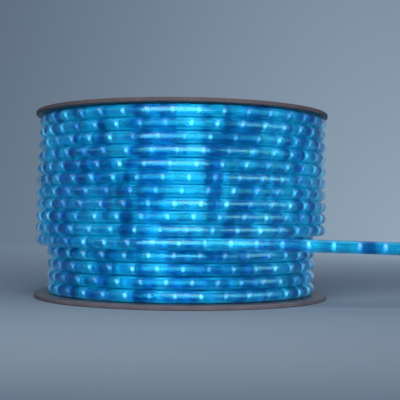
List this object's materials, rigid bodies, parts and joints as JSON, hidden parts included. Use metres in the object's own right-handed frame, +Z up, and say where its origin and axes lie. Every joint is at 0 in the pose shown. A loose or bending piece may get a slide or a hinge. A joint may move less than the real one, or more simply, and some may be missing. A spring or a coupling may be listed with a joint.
{
  "type": "led rope light",
  "caption": "Reel of blue LED rope light wound full on a cardboard core between round hardboard flanges, with its free end leaving the front.",
  "frame": {"origin": "on the reel's axis, at the underside of the lower flange that it stands on", "axes": "+Z up along the reel's axis, -Y towards the front where the rope's free end leaves, +X along the free end"},
  "size_m": [0.4078, 0.334, 0.209],
  "materials": {
    "hardboard": "satin",
    "cardboard": "matte",
    "blue_rope": "gloss",
    "clear_cap": "gloss"
  },
  "bodies": {
    "root": {"bottom_flange": "hardboard", "top_flange": "hardboard", "barrel": "cardboard", "rope_winding": "blue_rope", "rope_tail": "blue_rope", "end_cap": "clear_cap"}
  },
  "joints": []
}
